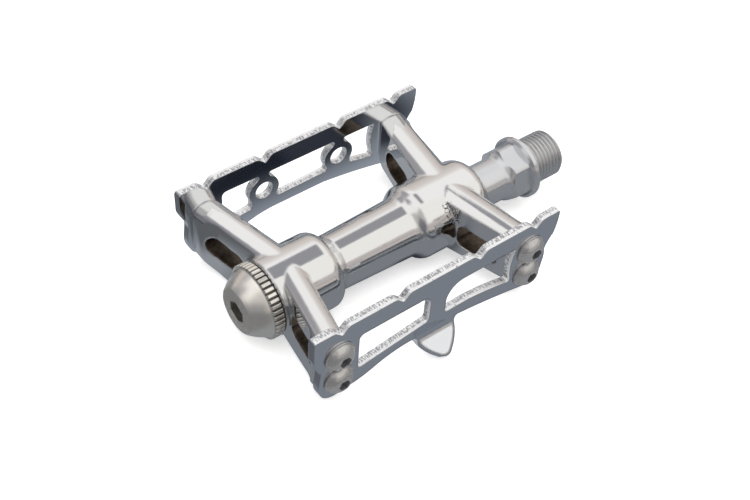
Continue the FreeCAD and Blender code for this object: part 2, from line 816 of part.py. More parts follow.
def make_hub():
    """Outside of the hubs and barrel, turned about the axis."""
    shoulder = S.hubShoulderOut + S.hubShoulderRound
    barrel_end = S.hubShoulderOut - S.grooveWidth
    flare_middle = (S.flareOut + S.flareTopOut) / 2
    middle_radius = (S.barrelFlareRadius + S.hubRadius) / 2
    rise = S.hubRadius - S.barrelFlareRadius
    run = S.flareOut - S.flareTopOut
    flare_radius = (run * run + rise * rise) / (rise * 4)
    sketch = free_sketch("hub_profile", "XZ", [[
        (-S.hubFaceOut, 0),
        (-S.hubFaceOut, S.hubRadius - 0.4),
        (-(S.hubFaceOut - 0.4), S.hubRadius),
        (-shoulder, S.hubRadius, -S.hubShoulderRound),
        (-S.hubShoulderOut, S.hubRadius - S.hubShoulderRound),
        (-S.hubShoulderOut, S.grooveRadius),
        (-barrel_end, S.grooveRadius),
        (-barrel_end, S.barrelEndRadius - S.barrelEndRound, -S.barrelEndRound),
        (-(barrel_end - S.barrelEndRound), S.barrelEndRadius),
        (-S.flareOut, S.barrelFlareRadius, flare_radius),
        (-flare_middle, middle_radius, -flare_radius),
        (-S.flareTopOut, S.hubRadius),
        (-(S.nearEndOut + S.nearEndRound), S.hubRadius, -S.nearEndRound),
        (-end_round_out(S.innerCupRadius), S.innerCupRadius),
        (-end_round_out(S.innerCupRadius), 0),
    ]])
    hub = doc.addObject("Part::Revolution", "hub_outside")
    hub.Source = sketch
    hub.Axis = Vector(1, 0, 0)
    hub.Angle = 360
    hub.Solid = True
    return hub


def make_bores():
    """Inside of the body: cap mouth, two cup seats and the barrel's bore."""
    cap_seat = S.hubFaceOut - S.capBoreDepth
    outer_seat = S.outerBallOut - S.ballRadius - S.raceGap - S.cupWall
    inner_seat = S.innerBallOut + S.ballRadius + S.raceGap + S.cupWall
    beyond = 1.0
    sketch = free_sketch("bore_profile", "XZ", [[
        (-(S.hubFaceOut + beyond), 0),
        (-(S.hubFaceOut + beyond), S.capBoreRadius),
        (-cap_seat, S.capBoreRadius),
        (-cap_seat, S.outerCupRadius),
        (-outer_seat, S.outerCupRadius),
        (-outer_seat, S.barrelBoreRadius),
        (-inner_seat, S.barrelBoreRadius),
        (-inner_seat, S.innerCupRadius),
        (-(S.nearEndOut - beyond), S.innerCupRadius),
        (-(S.nearEndOut - beyond), 0),
    ]])
    bores = doc.addObject("Part::Revolution", "bores")
    bores.Source = sketch
    bores.Axis = Vector(1, 0, 0)
    bores.Angle = 360
    bores.Solid = True
    return bores


def make_casting():
    """The body: hubs, barrel and four arms in one piece, bored and tapped."""
    pieces = [make_hub()]
    tools = [make_bores()]
    for arm in ARMS:
        for shape, group in zip(make_arm(arm), (pieces, tools)):
            rear = doc.addObject("Part::Mirroring", f"{shape.Name}_rear")
            rear.Source = shape
            rear.Normal = Vector(0, 1, 0)
            group += [shape, rear]
    outside = fused("casting_outside", pieces)
    for side, sign in SIDES:
        for end, out in ENDS:
            for level, height in LEVELS:
                start = inner_face * sign
                depth = S.screwLength - S.plateThickness + S.tappedBeyond
                tools.append(cylinder(f"tapping_{side}_{end}_{level}", S.screwRadius + S.threadPlay,
                                      depth, (-out, start, height), Vector(0, -sign, 0)))
    body = cut("casting", outside, fused("casting_tools", tools))
    body.Label = "pedal_body"
    return body


def notched_top():
    """The plates' top edge from the crank-side horn outwards, with its four notches."""
    land, floor = S.landHeight, S.landHeight - S.notchDepth
    corners = []
    for out in (S.notchFourOut, S.notchThreeOut, S.notchTwoOut, S.notchOneOut):
        corners += [
            (-(out - S.notchRamp - 0.4), land, S.landRound),
            (-(out - S.notchRamp + 0.5), land - 0.55),
            (-(out - 0.25), floor, -0.5),
            (-(out + 0.25), floor + 0.05),
            (-(out + S.notchShoulder - 1.1), land - 0.75, S.landRound),
            (-(out + S.notchShoulder + 0.4), land),
        ]
    return corners


def plate_outline():
    """Outline of both plates, as (x, z) corners taken counter-clockwise from the horn's tip."""
    land = S.landHeight
    return [
        (-S.hornTipOut, land - 0.5, 0.8),
        (-(S.hornTipOut + 0.6), land),
    ] + notched_top() + [
        (-(S.farEndOut - 1.2), land, 1.2),
        (-S.farEndOut, land - 1.2),
        (-S.farEndOut, land - 7.0, 6.0),
        (-(S.farWaistOut + 0.9), S.waistHeight + 3.2, -6.0),
        (-(S.farWaistOut + 0.05), S.waistHeight - 1.0),
        (-(S.farWaistOut + 0.42), S.waistHeight - 4.6, 7.5),
        (-(S.farWaistOut - 0.85), S.waistHeight - 9.8, 4.4),
        (-(S.boltFarOut + 1.8), -(S.lobeFoot - 0.2), 14.0),
        (-(S.boltFarOut - 2.6), -(S.lobeFoot - 0.6), 30.0),
        (-(S.archFarOut + 12.5), -(S.archFoot + 2.45), -32.0),
        (-S.archFarOut, -(S.archFoot + 0.1)),
        (-S.archNearOut, -S.archFoot, -190.0),
        (-(S.boltNearOut + 1.0), -(S.lobeFoot - 0.8), 6.0),
        (-(S.boltNearOut - 3.4), -(S.lobeFoot - 1.5), 5.0),
        (-S.nearWaistOut, -1.6, 12.0),
        (-S.nearWaistOut, S.waistHeight + 0.4, -11.0),
        (-(S.hornTipOut + 0.9), S.waistHeight + 5.0, 24.0),
    ]


def bolt_holes():
    return [("circle", -out, height, S.boltHoleRadius) for _, out in ENDS for _, height in LEVELS]


def rear_windows():
    """Two windows: a long parallelogram outboard and a teardrop towards the crank."""
    top, sill, corner = S.windowTop, S.sillHeight, S.windowCorner
    far, near = S.rearWindowFarOut, S.windowNearOut
    post_far, post_near = S.postFarOut, S.postNearOut
    return [
        [
            (-(post_far + S.postRound), top),
            (-(far - 1.6), top, 1.6),
            (-far, top - 1.6),
            (-far, sill - 3.0 + corner, corner),
            (-(far - corner), sill - 3.0),
            (-(post_far + 1.2), sill - 0.2, 1.2),
            (-post_far, sill + 1.0),
            (-post_far, top - S.postRound, S.postRound),
        ],
        [
            (-(near + 0.4), top),
            (-(post_near - 5.2), top, 5.6),
            (-post_near, top - 5.4),
            (-post_near, sill + corner, corner),
            (-(post_near - corner), sill - 0.3),
            (-(post_near - 8.0), sill - 0.25, -95.0),
            (-(near + corner), sill - 2.6, corner),
            (-(near - 0.2), sill - 1.9, -17.0),
            (-(near - 0.5), top - corner, corner),
        ],
    ]


def boss_side(hole, foot, crankwards):
    """A window's side along a toe-clip boss, upwards where the boss lies crankwards, else down."""
    boss, corner, top = S.toeBossRadius, S.windowCorner, S.windowTop
    sign = 1 if crankwards else -1
    high, low = boss * 0.9, boss * 0.55
    high_run = root(boss * boss - high * high)
    low_run = root(boss * boss - low * low)
    corners = [
        (-(hole + (low_run + corner) * sign), foot),
        (-(hole + low_run * sign), foot + corner),
        (-(hole + low_run * sign), S.toeHoleHeight - low),
        (-(hole + high_run * sign), S.toeHoleHeight + high),
        (-(hole + (high_run - 0.5) * sign), top - corner),
        (-(hole + (high_run + 0.4) * sign), top),
    ]
    bends = [corner, None, -boss, None, corner, None]
    if not crankwards:
        corners.reverse()
    return [place if bend is None else place + (bend,) for place, bend in zip(corners, bends)]


def front_windows():
    """Three windows, cut round the bosses of the two toe-clip holes."""
    top, sill, corner = S.windowTop, S.sillHeight, S.windowCorner
    far, near = S.frontWindowFarOut, S.windowNearOut
    far_hole, near_hole = S.toeHoleFarOut, S.toeHoleNearOut
    return [
        [
            (-(far - 1.5), top, 1.5),
            (-far, top - 1.5),
            (-far, sill - 2.5 + corner, corner),
            (-(far - corner), sill - 2.5),
        ] + boss_side(far_hole, sill - 1.7, True),
        boss_side(far_hole, sill - 0.9, False) + boss_side(near_hole, sill - 0.6, True),
        boss_side(near_hole, sill - 1.5, False) + [
            (-(near + corner), sill - 3.1, corner),
            (-(near - 0.1), sill - 2.3, -17.0),
            (-(near - 0.2), top - corner, corner),
            (-(near + 0.7), top),
        ],
    ]


def plate_body(label, loops, face_offset):
    """A plate padded from its sketch on the XZ plane, whose normal points rearwards."""
    body = new_body(label)
    pad = body.newObject("PartDesign::Pad", f"{body.Name}_pad")
    pad.Profile = body_sketch(body, "XZ", loops, face_offset)
    bind(pad, "Length", S.plateThickness)
    doc.recompute()
    return body


def make_tab():
    """The flip tab: the plate's sheet bent outwards and trimmed to a tongue."""
    bend, outer = S.tabBendRadius, S.tabBendRadius + S.plateThickness
    start = -S.archFoot + 0.4
    centre_y = -(S.plateFace + bend)
    lean_y, lean_z = sine(S.tabTilt), cosine(S.tabTilt)
    reach, fillet = S.tabReach, S.tabFillet
    half, tip_half = S.tabHalfWidth, S.tabTipHalfWidth
    strip = free_sketch("tab_strip", "YZ", [[
        (-S.plateFace, start + 1.0),
        (-S.plateFace, start, -bend),
        (centre_y + bend * lean_z, start - bend * lean_y),
        (centre_y + bend * lean_z - reach * lean_y, start - bend * lean_y - reach * lean_z),
        (centre_y + outer * lean_z - reach * lean_y, start - outer * lean_y - reach * lean_z),
        (centre_y + outer * lean_z, start - outer * lean_y, outer),
        (-inner_face, start),
        (-inner_face, start + 1.0),
    ]], -S.tabOut)
    band = extrusion("tab_band", strip, (1, 0, 0), (half + fillet) * 2, True)
    outline = free_sketch("tab_outline", "XZ", [[
        (half + fillet, 4),
        (-(half + fillet), 4),
        (-(half + fillet), 0.4, -fillet),
        (-half, 0.4 - fillet, half * 2.2),
        (-tip_half, 1.1 - reach, tip_half * 1.25),
        (tip_half, 1.1 - reach, half * 2.2),
        (half, 0.4 - fillet, -fillet),
        (half + fillet, 0.4),
    ]])
    outline.Placement = Placement(Vector(), Rotation(Vector(1, 0, 0), 40))
    bind(outline, "Placement.Base.x", -S.tabOut)
    bind(outline, "Placement.Base.y", -S.plateFace)
    bind(outline, "Placement.Base.z", start - bend / 3)
    outline.setExpression("Placement.Rotation.Angle", "(90 - Sizes.tabTilt) * 1 deg")
    tongue = extrusion("tab_tongue", outline, (0, -lean_z, lean_y), reach * 2.4, True)
    return common("tab", [band, tongue])


def make_plates():
    outline = plate_outline()
    rear_sheet = plate_body("rear_sheet", [outline] + bolt_holes() + rear_windows(), inner_face)
    rear = fused("rear_plate", [rear_sheet, make_tab()])
    rear.Refine = True
    toe_holes = [("circle", -out, S.toeHoleHeight, S.toeHoleRadius)
                 for out in (S.toeHoleFarOut, S.toeHoleNearOut)]
    loops = [outline] + bolt_holes() + toe_holes + front_windows()
    front = plate_body("front_plate", loops, -S.plateFace)
    return [rear, front]


def make_screw(label, sign, out, height):
    """A button-head screw with a rim and a hexagon socket, seated on a plate's outer face."""
    dome = S.domeHeight
    profile = [
        (0, -(S.screwLength)),
        (S.screwRadius - 0.5, -(S.screwLength)),
        (S.screwRadius, -(S.screwLength - 0.5)),
        (S.screwRadius, 0),
        (S.rimRadius, 0),
        (S.rimRadius, S.rimHeight),
        (S.domeRadius, S.rimHeight, S.domeRound),
        (S.domeFlat, dome),
        (0, dome),
    ]
    sketch = free_sketch(f"{label}_profile", "XZ", [profile])
    turning = doc.addObject("Part::Revolution", f"{label}_turning")
    turning.Source = sketch
    turning.Axis = Vector(0, 0, 1)
    turning.Angle = 360
    turning.Solid = True
    socket = doc.addObject("Part::Prism", f"{label}_socket")
    socket.Polygon = 6
    bind(socket, "Circumradius", S.socketFlats / math.sqrt(3))
    bind(socket, "Height", S.socketDepth + 1)
    bind(socket, "Placement.Base.z", dome - S.socketDepth)
    screw = cut(label, turning, socket)
    screw.Placement = Placement(Vector(), Rotation(Vector(0, 0, 1), Vector(0, sign, 0)))
    bind(screw, "Placement.Base.x", -out)
    bind(screw, "Placement.Base.y", S.plateFace * sign)
    bind(screw, "Placement.Base.z", height)
    return screw


def make_screws():
    return [make_screw(f"{side}_{end}_{level}_screw", sign, out, height)
            for side, sign in SIDES for end, out in ENDS for level, height in LEVELS]


def export(parts):
    """Check every object, then write one STEP file for each sub-part."""
    doc.recompute()
    for item in doc.Objects:
        if "Invalid" in item.State or "Error" in item.State:
            raise ValueError(f"{item.Label} failed to build: {item.State}")
    os.makedirs("parts", exist_ok=True)
    for part in parts:
        shape = part.Shape
        if shape.isNull() or not shape.isValid():
            raise ValueError(f"{part.Label} has no valid shape")
        shape.exportStep(f"parts/{part.Label}.step")
        print(f"{part.Label}: {len(shape.Solids)} solid, {shape.Volume:.1f} mm3")


parts = [make_casting()]
parts += make_plates()
parts += make_screws()
parts += [make_axle(), make_inner_cup(), make_outer_cup(), make_cone(), make_lock_washer()]
parts += [make_lock_nut(), make_cover(), make_seal(), make_dust_cap(), make_cap_ring()]
parts += make_balls("inboard_ball", INNER_BALLS, S.innerBallOut, S.neckRadius)
parts += make_balls("outboard_ball", OUTER_BALLS, S.outerBallOut, S.outerCircleRadius)
export(parts)
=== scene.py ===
"""Track pedal: finishes, crank thread, stage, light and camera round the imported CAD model."""
import math

import bpy
from mathutils import Matrix, Vector


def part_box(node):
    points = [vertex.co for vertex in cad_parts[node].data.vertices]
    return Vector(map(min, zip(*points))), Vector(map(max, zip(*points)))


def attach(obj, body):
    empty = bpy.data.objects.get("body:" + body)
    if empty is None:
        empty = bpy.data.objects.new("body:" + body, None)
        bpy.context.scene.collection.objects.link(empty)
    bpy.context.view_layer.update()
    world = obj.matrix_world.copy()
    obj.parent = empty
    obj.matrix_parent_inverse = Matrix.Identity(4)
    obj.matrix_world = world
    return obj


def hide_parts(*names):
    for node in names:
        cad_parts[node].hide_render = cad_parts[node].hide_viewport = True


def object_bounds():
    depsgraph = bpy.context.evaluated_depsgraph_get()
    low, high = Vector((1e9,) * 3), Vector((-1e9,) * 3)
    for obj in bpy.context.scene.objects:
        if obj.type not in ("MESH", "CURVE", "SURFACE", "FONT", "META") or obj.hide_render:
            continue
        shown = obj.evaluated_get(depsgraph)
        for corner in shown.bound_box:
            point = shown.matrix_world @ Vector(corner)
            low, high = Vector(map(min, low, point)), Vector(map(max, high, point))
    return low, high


bl_info = {
    "name": "Track Pedal",
    "version": (1, 0, 0),
    "blender": (4, 5, 0),
    "location": "3D View > Sidebar > Track Pedal",
    "description": "Gives the packed track pedal its real finishes and sets it on a studio stage",
    "category": "Object",
}

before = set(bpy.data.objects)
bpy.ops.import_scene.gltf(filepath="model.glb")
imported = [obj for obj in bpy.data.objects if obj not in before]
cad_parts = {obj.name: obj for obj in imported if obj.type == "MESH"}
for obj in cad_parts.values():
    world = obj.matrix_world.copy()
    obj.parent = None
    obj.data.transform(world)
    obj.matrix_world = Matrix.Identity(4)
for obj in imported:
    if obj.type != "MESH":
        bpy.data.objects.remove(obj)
cad_low, cad_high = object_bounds()

MM = 0.001

# The camera stands where the photograph's did, worked out from the thread's known size. Its place
# is in millimetres and its angle of view in degrees.
CAMERA_PLACE = (-206.21, -178.49, 244.26)
CAMERA_RIGHT = (0.7932, -0.60674, 0.05205)
CAMERA_UP = (0.4136, 0.5995, 0.6853)
CAMERA_VIEW = (0.44698, 0.52203, -0.72642)
CAMERA_ANGLE = 34.19

# Where a finish changes, in the part's own frame: ALONG the axle in x, ACROSS it in y and UP in z;
# OUT is how far from the axle, front or rear. The others are named for the edge that they mark.
SLOT_OUT, SLOT_UP = (11.3 * MM, 25.4 * MM), (-3.7 * MM, 4.5 * MM)
CROTCH_ALONG, CROTCH_ACROSS = (-36.0 * MM, -33.2 * MM), (-12.0 * MM, -6.5 * MM)
CROTCH_UP = (4.0 * MM, 9.6 * MM)
FLARE_ALONG = (-47.0 * MM, -34.0 * MM)
TAB_BEYOND, BEND_BEYOND = -32.3 * MM, -31.9 * MM
PLATE_END = -90.0 * MM
TORN_WITHIN = 30.75 * MM
KNURL_FLOOR = (10.1 * MM, 10.5 * MM)
CAP_SOCKET_RADIUS, CAP_FACE = 3.6 * MM, -99.1 * MM
THREAD_ROOT, THREAD_SPAN = 6.8 * MM, (0.05 * MM, 11.7 * MM)
SCREW_SEAT, SOCKET_BEYOND, SOCKET_END = 32.25 * MM, 32.85 * MM, (32.9 * MM, 33.1 * MM)

# Radii of the small broken edges that are shaded only.
CAP_EDGE, SCREW_EDGE = 0.3 * MM, 0.15 * MM

# Cards that polished metal reflects, on the table in metres and in the studio by direction: the
# tone, the limits along each axis and how soft the edges are.
TABLE_CARDS_AND_SHADOWS = (
    ("#989ea6", {"Y": (22 * MM, None)}, 6 * MM),
    ("#5f6266", {"X": (None, -102.5 * MM)}, 3.5 * MM),
    # Painted shadow: the next two dark cards lie under the pedal's body and barrel as its shadow on
    # the table, seen only in reflections.
    ("#1c2029", {"X": (-85 * MM, 0.0), "Y": (-4 * MM, 16 * MM)}, 9 * MM),
    ("#30333b", {"X": (-48 * MM, -20 * MM), "Y": (-9 * MM, 16 * MM)}, 3 * MM),
)
STUDIO_CARDS = (
    ("#f0efec", {"Y": (None, -0.15), "Z": (0.42, None)}, 0.06),
    ("#99938f", {"Y": (None, -0.45), "Z": (0.27, 0.40)}, 0.03),
    ("#b9b7b6", {"X": (None, -0.3), "Y": (None, -0.2), "Z": (0.4, None)}, 0.08),
    ("#929299", {"X": (None, -0.55), "Y": (0.3, None), "Z": (0.4, 0.9)}, 0.05),
    ("#9a9a9f", {"X": (-0.5, -0.05), "Y": (0.6, None), "Z": (0.4, 0.82)}, 0.05),
    ("#74757a", {"X": (None, -0.5), "Z": (None, 0.5)}, 0.08),
    ("#94959b", {"X": (0.12, 0.455), "Y": (-0.08, 0.47), "Z": (0.5, None)}, 0.012),
)

# Stage sizes in metres: half its width, how high the table's rim stands, how far the paper lies
# below the pedal and the table below the paper, and the overhead lamp's side and place.
STAGE_HALF, RIM_RISE = 2.0, 0.17
PAPER_GAP, TABLE_GAP = 0.05 * MM, 0.1 * MM
LAMP_SIDE, LAMP_PLACE = 1.2, (-0.05, 0.0, 0.9)
LAMP_WATTS = 6.0

SIDES = ("rear", "front")
ENDS = ("outboard", "inboard")
LEVELS = ("upper", "lower")
SCREWS = [f"{side}_{end}_{level}_screw" for side in SIDES for end in ENDS for level in LEVELS]
BALLS = [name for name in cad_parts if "_ball_" in name]


def colour(text):
    """An sRGB hex colour as linear red, green, blue and alpha."""
    parts = [int(text[place:place + 2], 16) / 255 for place in (1, 3, 5)]
    return [part / 12.92 if part <= 0.04045 else ((part + 0.055) / 1.055) ** 2.4
            for part in parts] + [1.0]


def per_mm(size):
    """A pattern's scale from its real size in millimetres."""
    return 1.0 / (size * MM)


def bands(spacing):
    """The scale at which a wave pattern's bands lie a real spacing apart."""
    return math.pi / (10 * spacing)


def add(tree, kind, inputs=None, **settings):
    """Add a node with its settings; an input is a value, or a socket to link from."""
    made = tree.nodes.new(kind)
    for name, value in settings.items():
        setattr(made, name, value)
    for key, value in (inputs or {}).items():
        if isinstance(value, bpy.types.NodeSocket):
            tree.links.new(value, made.inputs[key])
        else:
            made.inputs[key].default_value = value
    return made


def new_material(name):
    """An empty node material and its tree."""
    material = bpy.data.materials.new(name)
    material.use_nodes = True
    material.node_tree.nodes.clear()
    return material, material.node_tree


def surface(tree):
    """Where a point of the surface lies in the part's frame, its x, y and z, and how it faces."""
    coordinates = add(tree, "ShaderNodeTexCoord")
    place = coordinates.outputs["Object"]
    parts = add(tree, "ShaderNodeSeparateXYZ", {0: place}).outputs
    facing = add(tree, "ShaderNodeSeparateXYZ", {0: coordinates.outputs["Normal"]}).outputs
    return place, parts, facing


def region(tree, *limits):
    """A mask that is one where every value lies between its limits and falls softly to zero.

    Each of the limits is a value, its lower and its upper limit, of which one may be None, and how
    softly the mask falls there.
    """
    cover = None
    for value, low, high, soft in limits:
        for edge, start in ((low, 0.0), (high, 1.0)):
            if edge is None:
                continue
            side = add(tree, "ShaderNodeMapRange", {
                "Value": value, "From Min": edge - soft, "From Max": edge + soft,
                "To Min": start, "To Max": 1.0 - start}, interpolation_type="SMOOTHSTEP")
            if cover is not None:
                side = add(tree, "ShaderNodeMath", {0: cover, 1: side.outputs[0]},
                           operation="MULTIPLY")
            cover = side.outputs[0]
    return cover


def paint(tree, tone, *coats):
    """A tone under coats laid in turn, each a mask and the tone that shows where it is one."""
    for cover, coat in coats:
        tone = add(tree, "ShaderNodeMix", {0: cover, 6: tone, 7: coat}, data_type="RGBA").outputs[2]
    return tone


def from_axis(tree, parts):
    """Distance from the axle's axis."""
    flat = add(tree, "ShaderNodeCombineXYZ", {"Y": parts["Y"], "Z": parts["Z"]})
    distance = add(tree, "ShaderNodeVectorMath", {0: flat.outputs[0]}, operation="LENGTH")
    return distance.outputs["Value"]


def finish_metal(tree, inputs):
    """Close a metal's tree: full metallic unless a film or satin surface says less, default IOR."""
    shader = add(tree, "ShaderNodeBsdfPrincipled", {"Metallic": 1.0, **inputs})
    add(tree, "ShaderNodeOutputMaterial", {"Surface": shader.outputs[0]})


def polished_cast_aluminium():
    """Melt-forged aluminium, buffed on a wheel: a mirror with faint drag lines and soft edges.

    The buffing rounds each edge and each corner between an arm and a hub, so the normal is blended
    over them. It leaves drag lines, drawn coarser than the real ones so that they show. The wheel
    doesn't reach into the arms' slots, whose walls keep their rough cast skin, with painted shade
    darkening it to a deep brown; it leaves the flare duller, and opens a few dark pores in the
    crotch of one crank-side arm.
    """
    material, tree = new_material("polished_cast_aluminium")
    colours = bpy.context.scene.track_pedal_colours
    sizes = bpy.context.scene.track_pedal_sizes
    place, parts, facing = surface(tree)
    out = add(tree, "ShaderNodeMath", {0: parts["Y"]}, operation="ABSOLUTE").outputs[0]
    wall = region(tree, (facing["X"], -0.5, 0.5, 0.1), (out, *SLOT_OUT, 0.1 * MM),
                  (parts["Z"], *SLOT_UP, 0.1 * MM))
    skin = add(tree, "ShaderNodeTexNoise", {"Vector": place, "Scale": per_mm(1.2), "Detail": 5.0})
    # Painted shade: the slot walls' rough skin is painted dark brown, down to near black, as the
    # shade inside the slots.
    skin_and_slot_shade = paint(tree, colour("#241d18"), (skin.outputs[0], colour("#8a7d70")))
    pores = add(tree, "ShaderNodeTexNoise", {"Vector": place, "Scale": per_mm(0.6), "Detail": 2.0})
    pore = region(tree, (parts["X"], *CROTCH_ALONG, 0.4 * MM),
                  (parts["Y"], *CROTCH_ACROSS, 0.5 * MM), (parts["Z"], *CROTCH_UP, 0.4 * MM),
                  (pores.outputs[0], None, 0.43, 0.04))
    tone = paint(tree, tuple(colours.body), (wall, skin_and_slot_shade), (pore, colour("#5e564c")))
    stretched = add(tree, "ShaderNodeMapping", {"Vector": place, "Scale": (0.25, 1.0, 1.0)})
    drag = add(tree, "ShaderNodeTexNoise", {"Vector": stretched.outputs[0], "Scale": per_mm(0.7),
                                            "Detail": 3.0})
    waves = add(tree, "ShaderNodeTexNoise", {"Vector": place, "Scale": per_mm(9.0), "Detail": 1.0})
    edge = add(tree, "ShaderNodeBevel", {"Radius": sizes.buffed_edge}, samples=6)
    hollow = add(tree, "ShaderNodeBump", {"Height": waves.outputs[0], "Strength": 0.05,
                                          "Distance": 0.4 * MM, "Normal": edge.outputs[0]})
    relief = add(tree, "ShaderNodeBump", {"Height": drag.outputs[0], "Strength": 0.03,
                                          "Distance": 0.05 * MM, "Normal": hollow.outputs[0]})
    mirror = add(tree, "ShaderNodeMapRange", {"Value": drag.outputs[0], "To Min": 0.03,
                                              "To Max": 0.09})
    flare = region(tree, (facing["X"], -0.8, -0.15, 0.1), (parts["X"], *FLARE_ALONG, 0.5 * MM))
    duller = add(tree, "ShaderNodeMix", {0: flare, 2: mirror.outputs[0], 3: 0.17})
    rough = add(tree, "ShaderNodeMix", {0: wall, 2: duller.outputs[0], 3: 0.42})
    finish_metal(tree, {"Base Color": tone, "Roughness": rough.outputs[0],
                        "Normal": relief.outputs[0]})
    return material


def punched_plate_aluminium():
    """Hard aluminium sheet: bright rolled faces, and edges punched out with a press tool.

    The faces mirror what is near, slightly blurred. The punch burnishes an edge near the outer face
    and tears the rest of the thickness, which looks paler, with short marks across it and a few
    dark pits. The bent tab is tumbled smooth, and the outboard ends are buffed with the body.
    """
    material, tree = new_material("punched_plate_aluminium")
    colours = bpy.context.scene.track_pedal_colours
    sizes = bpy.context.scene.track_pedal_sizes
    place, parts, facing = surface(tree)
    out = add(tree, "ShaderNodeMath", {0: parts["Y"]}, operation="ABSOLUTE").outputs[0]
    lean = add(tree, "ShaderNodeMath", {0: facing["Y"]}, operation="ABSOLUTE").outputs[0]
    smooth = region(tree, (lean, 0.85, None, 0.05))
    tab = region(tree, (parts["Y"], None, TAB_BEYOND, 0.2 * MM))
    end = region(tree, (facing["X"], None, -0.45, 0.1), (parts["X"], None, PLATE_END, 0.5 * MM))
    for mask in (tab, end):
        smooth = add(tree, "ShaderNodeMath", {0: smooth, 1: mask}, operation="MAXIMUM").outputs[0]
    wander = add(tree, "ShaderNodeTexNoise", {"Vector": place, "Scale": per_mm(3.0), "Detail": 3.0})
    depth = add(tree, "ShaderNodeMath", {0: wander.outputs[0], 1: -0.8 * MM, 2: out},
                operation="MULTIPLY_ADD")
    torn_limit = (depth.outputs[0], None, TORN_WITHIN, 0.1 * MM)
    across = add(tree, "ShaderNodeMapping", {"Vector": place, "Scale": (1.0, 0.25, 1.0)})
    ticks = add(tree, "ShaderNodeTexNoise", {"Vector": across.outputs[0],
                                             "Scale": 1.0 / sizes.punch_marks, "Detail": 2.0})
    tick = region(tree, (ticks.outputs[0], None, 0.49, 0.10), torn_limit)
    pits = add(tree, "ShaderNodeTexNoise", {"Vector": place, "Scale": per_mm(0.7), "Detail": 4.0,
                                            "Roughness": 0.7})
    pit = region(tree, (pits.outputs[0], None, 0.36, 0.03))
    grain = add(tree, "ShaderNodeTexNoise", {"Vector": place, "Scale": per_mm(0.2), "Detail": 2.0})
    tone = paint(tree, tuple(colours.plate_edge), (tick, colour("#a4a5a9")),
                 (pit, colour("#5c5e62")), (smooth, tuple(colours.plate_face)))
    rough = add(tree, "ShaderNodeMapRange", {"Value": smooth, "To Min": 0.32, "To Max": 0.10})
    metal = add(tree, "ShaderNodeMapRange", {"Value": smooth, "To Min": 0.65, "To Max": 1.0})
    bend = region(tree, (parts["Y"], None, BEND_BEYOND, 0.8 * MM))
    round_off = add(tree, "ShaderNodeMapRange", {"Value": bend, "To Min": sizes.plate_edge,
                                                 "To Max": sizes.tab_edge})
    corner = add(tree, "ShaderNodeBevel", {"Radius": round_off.outputs[0]}, samples=8)
    marks = add(tree, "ShaderNodeMath", {0: ticks.outputs[0], 1: region(tree, torn_limit)},
                operation="MULTIPLY")
    weak = add(tree, "ShaderNodeMapRange", {"Value": smooth, "To Min": 0.5, "To Max": 0.0})
    punched = add(tree, "ShaderNodeBump", {"Height": marks.outputs[0], "Strength": weak.outputs[0],
                                           "Distance": 0.15 * MM, "Normal": corner.outputs[0]})
    relief = add(tree, "ShaderNodeBump", {"Height": grain.outputs[0], "Strength": 0.08,
                                          "Distance": 0.02 * MM, "Normal": punched.outputs[0]})
    finish_metal(tree, {"Base Color": tone, "Roughness": rough.outputs[0],
                        "Metallic": metal.outputs[0], "Normal": relief.outputs[0]})
    return material


def turned_aluminium():
    """Aluminium turned on a lathe and blasted to a satin: fine rings round the axle's axis.

    The rings draw the light into a soft streak from the middle outwards. Painted shade darkens the
    bottoms of the knurl and the hexagon socket.
    """
    material, tree = new_material("turned_aluminium")
    colours = bpy.context.scene.track_pedal_colours
    sizes = bpy.context.scene.track_pedal_sizes
    place, parts, facing = surface(tree)
    radius = from_axis(tree, parts)
    rings = add(tree, "ShaderNodeTexWave", {"Vector": place, "Scale": bands(sizes.lathe_rings),
                                            "Distortion": 0.6, "Detail": 2.0},
                wave_type="RINGS", rings_direction="X")
    blotch = add(tree, "ShaderNodeTexNoise", {"Vector": place, "Scale": per_mm(3.5), "Detail": 1.0})
    # Painted shade: the knurl's groove bottoms and the hexagon socket below are darkened as shade.
    groove = region(tree, (facing["X"], -0.3, 0.3, 0.1), (radius, *KNURL_FLOOR, 0.2 * MM))
    socket = region(tree, (radius, None, CAP_SOCKET_RADIUS, 0.05 * MM),
                    (parts["X"], CAP_FACE, None, 0.1 * MM))
    tone = paint(tree, colour("#f5f0e8"), (blotch.outputs[0], tuple(colours.cap)),
                 (groove, colour("#5c5750")), (socket, colour("#b8b4ae")))
    rough = add(tree, "ShaderNodeMapRange", {"Value": blotch.outputs[0], "To Min": 0.24,
                                             "To Max": 0.29})
    corner = add(tree, "ShaderNodeBevel", {"Radius": CAP_EDGE}, samples=8)
    relief = add(tree, "ShaderNodeBump", {"Height": rings.outputs["Fac"], "Strength": 0.12,
                                          "Distance": 0.02 * MM, "Normal": corner.outputs[0]})
    grain_way = add(tree, "ShaderNodeTangent", direction_type="RADIAL", axis="X")
    finish_metal(tree, {"Base Color": tone, "Roughness": rough.outputs[0], "Metallic": 0.9,
                        "Anisotropic": 0.5, "Tangent": grain_way.outputs[0],
                        "Normal": relief.outputs[0]})
    return material


